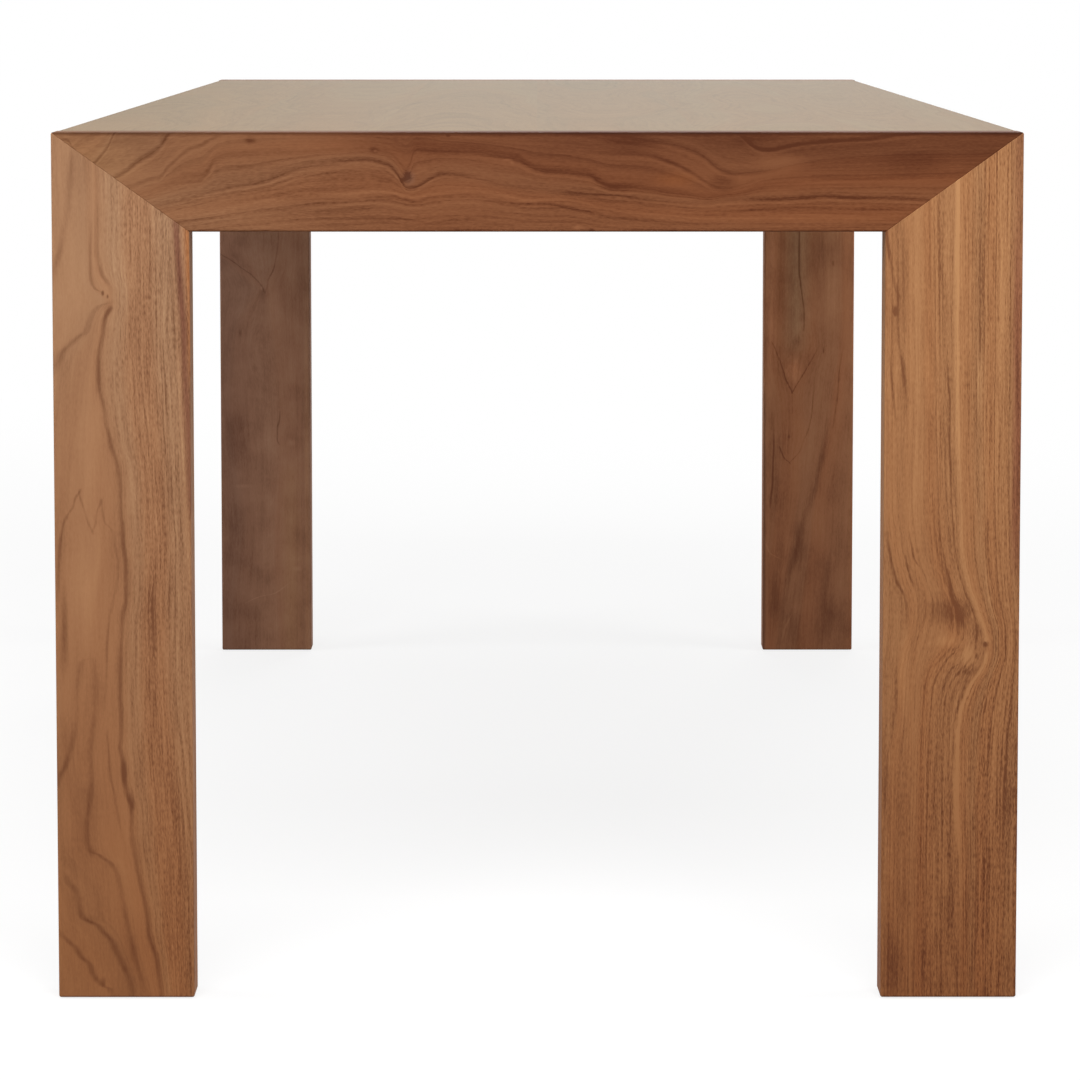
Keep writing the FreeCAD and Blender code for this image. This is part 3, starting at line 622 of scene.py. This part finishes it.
def front_end_rail():
    """Waves about a knot left of the middle, and darker wood to the right."""
    plank = Plank("walnut_front_end_rail", "crosswise", 3.0)
    plank.drawn_rings(front_face, 0.7, [
        (-9, [(-435, 645), (431, 656)]),
        (0, [
            (-435, 666), (-383, 675), (-317, 686), (-256, 697), (-221, 702), (-190, 706), (-160, 707),
            (-139, 709), (-127, 708), (-116, 705), (-105, 704), (-94, 706), (-77, 708), (-55, 709),
            (-37, 707), (-24, 704), (-7, 701), (21, 701), (37, 699), (55, 694), (81, 690), (107, 688),
            (142, 685), (195, 685), (431, 684)]),
        (4, [
            (-435, 677), (-383, 689), (-339, 695), (-295, 706), (-267, 713), (-251, 715), (-241, 717),
            (-230, 720), (-221, 724), (-210, 728), (-199, 731), (-181, 734), (-164, 736), (-151, 737),
            (-138, 735), (-129, 732), (-122, 726), (-118, 719), (-114, 713), (-110, 712), (-103, 714),
            (-96, 718), (-90, 722), (-81, 725), (-68, 724), (-50, 720), (-33, 716), (-7, 712), (20, 709),
            (55, 706), (81, 704), (107, 701), (142, 699), (173, 702), (221, 703), (251, 705), (269, 704),
            (291, 704), (339, 702), (431, 699)]),
        (7, [
            (-435, 685), (-383, 696), (-341, 705), (-304, 718), (-291, 720), (-285, 726), (-281, 732),
            (-279, 736), (-271, 740), (-260, 741), (-234, 743), (-181, 745), (-155, 746), (-138, 745),
            (-125, 741), (-117, 732), (-112, 727), (-110, 734), (-108, 742), (-103, 746), (-81, 745),
            (-55, 744), (-28, 740), (-15, 737), (-7, 732), (7, 728), (20, 727), (33, 725), (46, 723),
            (55, 717), (65, 713), (81, 713), (98, 711), (114, 708), (133, 706), (146, 704), (161, 706),
            (173, 707), (195, 713), (208, 714), (230, 715), (273, 717), (356, 719), (431, 720)]),
        (10, [
            (-435, 695), (-383, 706), (-355, 713), (-343, 716), (-334, 720), (-326, 721), (-322, 726),
            (-320, 729), (-314, 734), (-307, 741), (-299, 746), (-290, 749), (-283, 753), (-276, 756),
            (-251, 761), (-208, 762), (-120, 761), (-77, 757), (-33, 752), (20, 748), (55, 743), (98, 740),
            (111, 736), (125, 730), (142, 720), (151, 714), (161, 712), (173, 714), (195, 721), (230, 726),
            (273, 727), (431, 729)]),
        (13, [
            (-435, 703), (-383, 715), (-366, 721), (-355, 727), (-348, 733), (-341, 738), (-332, 743),
            (-325, 749), (-321, 755), (-316, 762), (-295, 768), (-120, 773), (20, 768), (55, 762),
            (90, 755), (125, 748), (142, 741), (153, 732), (161, 727), (173, 725), (195, 727), (230, 734),
            (273, 739), (431, 743)]),
        (16, [
            (-435, 712), (-418, 719), (-396, 727), (-382, 734), (-376, 741), (-371, 747), (-368, 753),
            (-365, 760), (-356, 768), (-295, 776), (55, 780), (142, 768), (173, 760), (181, 753),
            (188, 747), (199, 745), (221, 749), (247, 752), (273, 754), (291, 755), (317, 759),
            (431, 766)]),
        (19, [(-435, 734), (-418, 750), (-403, 759), (-391, 769), (-356, 787), (55, 800), (431, 804)]),
    ])
    plank.calm([(-9, 0.9), (0, 1.1), (4, 1.0), (7, 0.6), (10, 0.5), (19, 0.5)])
    plank.spots([
        (-112, 722, 6, 7, 72), (-116, 719, 5, 4, 45), (-248, 753, 8, 4.5, 40), (-141, 745, 7, 5, 30),
        (-140, 744, 2.5, 1.5, -30), (-77, 757, 3, 2, 40), (-26, 736, 6, 2.2, -34), (-22, 734, 3, 1.8, -34),
        (47, 676, 4, 2.4, 44), (35, 678, 7, 2.4, -50), (-321, 754, 7, 7, 24), (-98, 728, 8, 5, -20),
        (121, 719, 26, 9, -12), (208, 734, 36, 11, -32), (160, 717, 18, 11, 30), (83, 750, 40, 12, 26),
        (190, 754, 34, 7, 24), (321, 734, 48, 17, 18), (-133, 718, 8, 4, 20), (-365, 743, 30, 10, -10)])
    plank.streak(43.5, [
        (-208, 762, 0), (-120, 757, 14), (-15, 754, 21), (90, 752, 21), (195, 754, 16), (256, 747, 19),
        (321, 741, 21), (404, 743, 24)])
    plank.trace(4, 3.0, [
        (-295, 0), (-267, 16), (-241, 24), (-230, 27), (-210, 21), (-181, 18), (-164, 27), (-138, 30),
        (-129, 34), (-122, 35), (-114, 29), (-103, 37), (-96, 35), (-90, 30), (-81, 21), (-59, 11),
        (-33, 8), (-7, 10), (20, 14), (72, 11), (142, 13), (173, 19), (195, 26), (221, 29), (251, 30),
        (269, 35), (291, 26), (317, 27), (352, 19)], pale=0.7)
    plank.trace(7, 5.4, [
        (-339, 8), (-304, 13), (-291, 14), (-283, 24), (-276, 16), (-260, 19), (-234, 8), (-181, 5),
        (-125, 8), (-112, 10), (-110, 13), (-103, 15), (-81, 15), (-55, 17), (-28, 24), (-15, 32), (7, 32),
        (33, 27), (46, 32), (58, 37), (72, 32), (98, 22), (133, 19), (161, 21), (195, 11),
        (230, 0)], pale=0.3)
    plank.trace(10, 3.5, [
        (-418, 0), (-355, 18), (-343, 21), (-326, 19), (-320, 22), (-307, 21), (-290, 24), (-283, 29),
        (-276, 16), (-260, 0), (20, 0), (55, 13), (98, 24), (114, 35), (125, 29), (142, 19), (155, 16),
        (173, 13), (203, 0)], pale=0.5)
    plank.trace(13, 4.3, [
        (-418, 0), (-366, 18), (-355, 24), (-348, 24), (-339, 21), (-325, 21), (-316, 16), (-295, 0),
        (55, 0), (125, 13), (142, 16), (161, 24), (173, 21), (195, 16), (230, 0)], pale=0.45)
    plank.trace(16, 2.9, [
        (-418, 0), (-396, 8), (-382, 21), (-376, 21), (-371, 16), (-365, 16), (-348, 0), (142, 0),
        (173, 24), (188, 32), (199, 29), (221, 26), (247, 24), (273, 24), (317, 16), (404, 8)], pale=0.4)
    plank.streak(2.6, [(-418, 758, 0), (-411, 755, 13), (-404, 752, 24), (-402, 748, 21), (-398, 743, 0)])
    plank.streak(2.9, [
        (-321, 685, 0), (-295, 689, -19), (-273, 693, -24), (-256, 696, -29), (-234, 700, -27),
        (-208, 703, -13), (-181, 706, -16), (-160, 707, -27), (-139, 709, -32), (-127, 708, -27),
        (-116, 705, -32), (-105, 703, -29), (-94, 706, -29), (-77, 708, -22), (-55, 709, -19),
        (-37, 707, -24), (-24, 704, -32), (-7, 701, -35), (21, 702, -32), (37, 699, -24), (55, 694, -16),
        (90, 689, -21), (142, 685, -16), (195, 685, -16), (282, 685, -13), (317, 685, 0)])
    plank.streak(2.3, [
        (-160, 704, 0), (-127, 705, 16), (-116, 702, 29), (-105, 700, 27), (-94, 703, 21), (-77, 705, 13),
        (-59, 706, 8), (-33, 701, 24), (-15, 698, 35), (7, 698, 37), (21, 696, 35), (37, 693, 29),
        (55, 691, 16), (90, 685, 0)])
    plank.streak(2.6, [
        (-216, 692, 0), (-177, 696, -19), (-146, 699, -24), (-125, 697, -21), (-110, 694, -16),
        (-85, 695, -8), (-59, 697, 0)])
    plank.streak(2.3, [
        (-238, 713, 0), (-221, 715, -16), (-208, 720, -24), (-181, 727, -16), (-164, 729, -13),
        (-142, 729, -16), (-127, 722, 0)])
    plank.streak(2.0, [(20, 708, 0), (37, 707, 21), (63, 706, 21), (90, 703, 0)])
    plank.streak(2.0, [
        (-181, 684, 0), (-146, 685, 21), (-120, 685, 21), (-94, 682, 14), (-77, 684, 19), (-50, 685, 0)])
    plank.streak(2.3, [(125, 688, 0), (160, 690, 16), (195, 694, 22), (230, 695, 19), (265, 692, 0)])
    plank.streak(2.3, [(142, 685, 0), (177, 687, -13), (230, 688, -19), (282, 687, -19), (317, 688, 0)])
    plank.streak(2.9, [(221, 717, 0), (273, 717, -21), (356, 718, -16), (396, 719, 0)])
    # Painted shade: a dark line along the rail's lower edge, and one just under its upper arris.
    plank.streak(2.0, [(-435, 675, 24), (431, 675, 24)])
    plank.streak(2.3, [(-435, 758, 24), (431, 758, 24)])
    plank.deepen(-420, -100, (0.75, 0.575, 0.49))
    plank.deepen(0, 400, (0.97, 0.905, 0.83))
    plank.deepen(-200, 0, (0.92, 0.91, 0.93), 700, 746)
    plank.stain(-387, 734, 70, 34, (1.18, 1.22, 1.16))
    plank.stain(119, 720, 28, 10, (1.08, 1.03, 0.90))
    plank.stain(-111, 721, 8, 9, (1.0, 1.16, 1.5))
    # Painted shade on the rail's top face and front arris.
    plank.painted_shade_on_edge((0.64, 0.61, 0.57), (0.64, 0.60, 0.60))
    return plank.oiled(front_rail_tone, bands=0.12, stripes=0.15, fibres=0.14, dashes=0.17, clouds=0.13,
                       shine=0.08)


def rear_left_leg():
    """Cloudy wood with faint knots."""
    plank = Plank("walnut_rear_left_leg", "upright", 4.0)
    plank.drawn_rings(rear_frame_face, 0.5, [
        (-5, [(0, -450), (760, -450)]),
        (0, [
            (0, -404), (60, -401), (114, -393), (168, -388), (221, -393), (275, -398), (328, -404),
            (382, -402), (415, -398), (438, -393), (455, -385), (473, -374), (484, -370), (493, -377),
            (502, -388), (513, -398), (521, -406), (529, -420), (549, -431), (623, -436)]),
        (3, [
            (0, -346), (34, -347), (87, -349), (141, -350), (194, -349), (228, -346), (268, -343),
            (288, -345), (308, -342), (328, -343), (368, -346), (402, -350), (429, -353), (449, -356),
            (468, -358), (484, -360), (496, -356), (509, -349), (529, -345), (549, -342), (623, -331)]),
        (8, [(0, -310), (328, -311), (556, -310), (623, -311)]),
        (14, [(0, -270), (760, -270)]),
    ])
    plank.calm([(-5, 0.4), (14, 0.4)])
    plank.swell(402, -377, 60, 17, 1.1)
    plank.spots([
        (476, -362, 14, 11, 26), (426, -394, 9, 4, 26), (379, -374, 9, 7, 20), (543, -388, 14, 18, 20),
        (500, -327, 46, 14, -24), (279, -327, 8, 10, -24), (485, -365, 4, 3, -30), (221, -390, 4, 18, -30),
        (110, -319, 5, 8, -26), (295, -405, 40, 22, 16), (178, -398, 50, 20, 14), (50, -382, 24, 30, 20),
        (449, -345, 46, 12, -10)])
    plank.streak(1.8, [
        (478, -361, 0), (486, -364, 36), (493, -369, 36), (504, -380, 34), (513, -393, 34), (522, -405, 36),
        (529, -417, 34), (532, -422, 0)])
    plank.streak(1.8, [
        (476, -361, 0), (485, -358, 24), (496, -356, 30), (510, -349, 34), (524, -346, 26), (543, -343, 30),
        (563, -342, 20)])
    plank.streak(1.8, [(275, -342, 0), (283, -345, 34), (296, -345, 34), (311, -342, 30), (323, -341, 0)])
    plank.streak(2.4, [
        (58, -398, 0), (63, -390, -10), (70, -377, -36), (74, -364, -44), (77, -350, -40), (85, -338, -20),
        (95, -326, 0)])
    plank.stained_streak(20.0, [
        (0, -326, 90), (114, -326, 90), (208, -327, 70), (261, -326, 0)], (1.12, 1.18, 1.10))
    plank.stained_streak(64.0, [
        (0, -409, 100), (221, -409, 90), (422, -412, 80), (563, -414, 75)], (0.70, 0.66, 0.67))
    plank.stained_streak(5.0, [
        (7, -306, 100), (221, -306, 100), (422, -306, 70), (556, -306, 30)], (1.16, 1.16, 1.08))
    # Darker towards the floor: partly the leg's own tone, partly painted shade where less light reaches low
    # down.
    plank.deepen(640, 60, (0.84, 0.80, 0.75))
    return plank.oiled(leg_tone["rear_left"], bands=0.06, lines=0.10, clouds=0.22, cloud_stretch=0.9)


def rear_right_leg():
    """A pale heart at the top, with arches below it."""
    plank = Plank("walnut_rear_right_leg", "upright", 5.0)
    plank.drawn_rings(rear_frame_face, -0.5, [
        (-6, [(0, 270), (760, 270)]),
        (0, [
            (0, 306), (114, 309), (168, 314), (208, 319), (235, 322), (265, 325), (295, 323), (335, 319),
            (366, 311), (402, 306), (462, 307), (556, 309), (623, 309)]),
        (3, [
            (0, 311), (74, 317), (134, 322), (181, 327), (228, 331), (259, 333), (285, 335), (315, 337),
            (339, 337), (358, 333), (379, 329), (402, 327), (438, 331), (476, 330), (556, 331),
            (623, 331)]),
        (6, [
            (0, 317), (74, 325), (134, 334), (181, 341), (228, 347), (259, 346), (285, 353), (315, 350),
            (339, 347), (358, 353), (379, 360), (406, 368), (438, 362), (476, 361), (556, 360),
            (623, 360)]),
        (10, [
            (0, 325), (74, 335), (134, 347), (181, 350), (221, 356), (261, 360), (295, 364), (328, 366),
            (368, 373), (402, 384), (476, 385), (556, 384), (623, 384)]),
        (16, [
            (0, 351), (74, 360), (141, 368), (194, 373), (235, 380), (268, 386), (301, 394), (335, 398),
            (368, 402), (402, 406), (462, 409), (556, 409), (623, 409)]),
        (26, [(0, 450), (760, 450)]),
    ])
    plank.calm([(-6, 0.38), (26, 0.38)])
    plank.spots([
        (502, 345, 60, 16, 15), (446, 351, 14, 6, 18), (414, 345, 12, 8, 26), (287, 335, 4, 3.4, 36),
        (402, 380, 7, 2, 34), (518, 392, 6, 2, 30), (308, 311, 30, 8, 16), (235, 318, 55, 7, 16),
        (141, 347, 46, 16, 34), (74, 318, 70, 16, 20), (44, 386, 60, 34, 34), (255, 360, 50, 14, -12),
        (482, 390, 50, 12, -15)])
    plank.streak(1.8, [
        (427, 353, 0), (438, 354, 40), (462, 353, 36), (484, 350, 50), (513, 347, 55), (576, 347, 50)])
    plank.streak(1.6, [
        (344, 339, 0), (350, 337, 40), (362, 331, 38), (374, 327, 34), (389, 322, 26), (402, 317, 30),
        (415, 311, 0)])
    plank.streak(1.6, [
        (344, 338, 0), (352, 342, 34), (363, 349, 34), (375, 356, 30), (389, 364, 26), (401, 370, 16),
        (409, 374, 0)])
    plank.streak(1.8, [(249, 338, 0), (253, 335, 30), (257, 330, 34), (265, 326, 40), (275, 322, 0)])
    plank.streak(1.6, [
        (251, 335, 0), (260, 343, 30), (269, 350, 24), (280, 353, 20), (295, 360, 30), (311, 364, 34),
        (331, 366, 34), (355, 368, 20), (374, 369, 0)])
    plank.streak(2.2, [
        (188, 310, 0), (202, 311, 40), (221, 313, 56), (248, 314, 50), (275, 315, 36), (312, 315, 10),
        (328, 315, 0)])
    plank.streak(2.4, [(295, 393, 0), (322, 397, 30), (348, 400, 34), (382, 402, 24), (415, 408, 0)])
    plank.streak(9.0, [
        (87, 331, 0), (111, 338, 22), (134, 346, 20), (168, 353, 26), (194, 362, 22), (221, 370, 22),
        (248, 377, 24), (275, 384, 18), (295, 388, 8), (322, 390, 0)])
    plank.streak(1.8, [
        (122, 327, 0), (126, 319, -26), (131, 311, -30), (141, 306, -30), (151, 303, -20), (160, 302, 0)])
    plank.streak(1.8, [(12, 327, 0), (28, 330, -24), (40, 335, -24), (50, 341, 0)])
    plank.stained_streak(25.0, [
        (382, 341, 0), (395, 342, 20), (422, 343, 70), (462, 345, 90), (576, 345, 90)], (1.04, 1.36, 1.56))
    plank.stain(376, 341, 26, 15, (1.46, 1.54, 1.60))
    plank.stained_streak(12.0, [
        (328, 310, 0), (382, 310, 60), (435, 311, 100), (576, 311, 100)], (1.30, 1.34, 1.40))
    plank.stained_streak(4.0, [
        (0, 302, 100), (114, 302, 100), (301, 302, 80), (355, 302, 20), (374, 302, 0)], (0.55, 0.55, 0.60))
    # Darker towards the floor: partly the leg's own tone, partly painted shade where less light reaches low
    # down.
    plank.deepen(480, 60, (0.70, 0.67, 0.66))
    return plank.oiled(leg_tone["rear_right"], bands=0.09, lines=0.16, clouds=0.24, cloud_stretch=0.6)


def sawn_plank(name, grain, seed, heart, ring_width, taper, tone, **looks):
    """A plank cut from the log about its heart, with arches down the middle of its face."""
    plank = Plank(name, grain, seed)
    plank.log_rings(heart, ring_width, taper)
    return plank.oiled(tone, **looks)


# ==== Other finishes ====

def beech_wood():
    """Pale beech, with its short brown ray flecks."""
    recipe = Recipe("beech")
    place = recipe.object_place()
    cloud = recipe.noise_about_zero(place, 30.0, 0.22, detail=3.0)
    fleck_place = recipe.vector("MULTIPLY", place, (1.0, 0.35, 1.0))
    fleck = recipe.spread(recipe.noise(fleck_place, 900.0, 1.0), 0.60, 0.72)
    tone = recipe.math("MULTIPLY_ADD", fleck, -0.3, recipe.math("ADD", cloud, 0.6))
    colour = recipe.ramp(tone, [(0.0, (0.42, 0.25, 0.13)), (1.0, (0.72, 0.50, 0.31))])
    gloss = recipe.math("MULTIPLY_ADD", fleck, 0.1, 0.62)
    return recipe.finish(colour, gloss, fleck, 0.00004, IOR=1.5)


def black_powder_coat():
    """Fine orange peel, with a faint wear of grey dust."""
    recipe = Recipe("black_powder_coat")
    place = recipe.object_place()
    peel = recipe.noise(place, 1100.0, 2.0)
    dust = recipe.noise(place, 60.0, 4.0, 0.6)
    colour = recipe.ramp(dust, [(0.35, (0.018, 0.018, 0.019)), (0.75, (0.040, 0.039, 0.038))])
    gloss = recipe.spread(dust, 0.3, 0.7, 0.42, 0.56)
    return recipe.finish(colour, gloss, peel, 0.00006, IOR=1.5)


def bare_metal(name, dull, bright, low_gloss, high_gloss):
    """Plated or bare metal with a cloudy surface and fine scratches."""
    recipe = Recipe(name)
    place = recipe.object_place()
    cloud = recipe.noise(place, 140.0, 4.0, 0.6)
    scratch = recipe.noise(recipe.vector("MULTIPLY", place, (1.0, 9.0, 3.0)), 700.0, 2.0)
    colour = recipe.ramp(cloud, [(0.3, dull), (0.7, bright)])
    gloss = recipe.spread(recipe.math("ADD", cloud, scratch), 0.6, 1.4, low_gloss, high_gloss)
    return recipe.finish(colour, gloss, scratch, 0.00001, Metallic=1.0)


def brown_nylon():
    """Moulded nylon with a fine spark texture, rubbed a little in random patches."""
    recipe = Recipe("brown_nylon")
    place = recipe.object_place()
    spark = recipe.noise(place, 1800.0, 2.0)
    rub = recipe.noise(place, 220.0, 3.0)
    colour = recipe.ramp(rub, [(0.3, (0.085, 0.052, 0.034)), (0.75, (0.135, 0.088, 0.060))])
    gloss = recipe.spread(rub, 0.3, 0.7, 0.45, 0.62)
    return recipe.finish(colour, gloss, spark, 0.00003, IOR=1.53)


def dress_table(nodes):
    """Give every node its finish."""
    finishes = {
        "front_left_leg": front_left_leg(), "front_right_leg": front_right_leg(),
        "rear_left_leg": rear_left_leg(), "rear_right_leg": rear_right_leg(),
        "front_end_rail": front_end_rail(),
        "rear_end_rail": sawn_plank("walnut_rear_end_rail", "crosswise", 6.0, (0.70, 0.90), 0.0052, 0.055,
                                    rear_rail_tone),
        "left_side_rail": sawn_plank("walnut_left_side_rail", "on_edge", 7.0, (0.712, -0.50), 0.0048,
                                     0.035, side_rail_tone),
        "right_side_rail": sawn_plank("walnut_right_side_rail", "on_edge", 8.0, (0.70, 0.49), 0.0050,
                                      -0.030, side_rail_tone),
        "floor_glides": brown_nylon(),
        "threaded_inserts": bare_metal("brass", (0.52, 0.34, 0.13), (0.78, 0.58, 0.28), 0.25, 0.45),
    }
    for number, (tone, heart, taper) in enumerate(top_boards):
        name = "top_board_" + str(number + 1)
        finishes[name] = sawn_plank("walnut_" + name, "lengthwise", 10.0 + number,
                                    (heart, 0.66 + 0.012 * number), 0.0055, taper, tone, **top_finish)
    for number in range(3):
        name = "batten_" + str(number + 1)
        finishes[name] = sawn_plank("walnut_" + name, "crosswise", 20.0 + number,
                                    (0.69, -0.55 + 0.48 * number), 0.0045, 0.02, batten_tone)
    beech, powder_coat = beech_wood(), black_powder_coat()
    zinc = bare_metal("zinc_plate", (0.44, 0.44, 0.43), (0.66, 0.66, 0.64), 0.28, 0.48)
    for name, node in nodes.items():
        if name.endswith("_bracket"):
            finish = powder_coat
        elif name.endswith(("_tenons", "_spline", "_biscuits", "_dowels")):
            finish = beech
        elif name.endswith(("_bolts", "_washers", "_screws", "_clips")):
            finish = zinc
        else:
            finish = finishes[name]
        for slot in node.material_slots:
            slot.material = finish


# ==== Studio ====

def white_for_the_eye(wiring, otherwise):
    """1 for rays that show the surroundings to the camera or in a gloss, and else a plain level."""
    path = wiring.node("LightPath", {}).outputs
    mirrored = wiring.math("MAXIMUM", path["Is Glossy Ray"], path["Is Transmission Ray"])
    seen = wiring.math("MAXIMUM", path["Is Camera Ray"], mirrored)
    return wiring.spread(seen, 0.0, 1.0, otherwise, 1.0)


def lay_floor():
    mesh = bmesh.new()
    bmesh.ops.create_grid(mesh, x_segments=1, y_segments=1, size=floor_size / 2)
    data = bpy.data.meshes.new("studio_floor")
    mesh.to_mesh(data)
    mesh.free()
    recipe = Recipe("pale_floor")
    links, shader = recipe.tree.links, recipe.shader
    eye = white_for_the_eye(recipe, 0.0)
    links.new(recipe.blend(eye, floor_colour, white), shader.inputs["Base Color"])
    shader.inputs["Roughness"].default_value = 0.9
    shader.inputs["Specular IOR Level"].default_value = 0.0
    glow = recipe.node("Emission", {"Color": white, "Strength": 1.0})
    distance = recipe.vector("LENGTH", recipe.object_place())
    share = recipe.spread(distance, *floor_glow_reach, floor_glow, 1.0, smooth=True)
    mixed = recipe.node("MixShader", {0: recipe.math("MULTIPLY", eye, share), 1: shader.outputs[0],
                                      2: glow.outputs[0]})
    links.new(mixed.outputs[0], recipe.tree.nodes["Material Output"].inputs["Surface"])
    data.materials.append(recipe.material)
    floor = bpy.data.objects.new("studio_floor", data)
    bpy.context.scene.collection.objects.link(floor)


def light_studio():
    scene = bpy.context.scene
    world = bpy.data.worlds.new("white_surroundings")
    scene.world = world
    world.use_nodes = True
    wiring = Wiring(world.node_tree)
    backdrop = wiring.tree.nodes["Background"]
    backdrop.inputs["Color"].default_value = white
    wiring.tree.links.new(white_for_the_eye(wiring, ambient_strength), backdrop.inputs["Strength"])
    for name, (place, target, width, height, power) in lamps.items():
        light = bpy.data.lights.new(name, "AREA")
        light.shape, light.size, light.size_y, light.energy = "RECTANGLE", width, height, power
        lamp = bpy.data.objects.new(name, light)
        lamp.location = place
        lamp.rotation_euler = (Vector(target) - Vector(place)).to_track_quat("-Z", "Y").to_euler()
        lamp.visible_camera = False
        scene.collection.objects.link(lamp)
    scene.view_settings.view_transform = "Standard"


def place_camera():
    data = bpy.data.cameras.new("camera")
    data.lens, data.shift_y = camera_lens, camera_shift_up
    camera = bpy.data.objects.new("camera", data)
    camera.location = camera_place
    camera.rotation_euler = Euler((math.radians(90 - camera_pitch_down), 0.0, math.radians(camera_yaw)))
    bpy.context.scene.collection.objects.link(camera)
    bpy.context.scene.camera = camera


place_camera()
lay_floor()
light_studio()
dress_table(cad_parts)
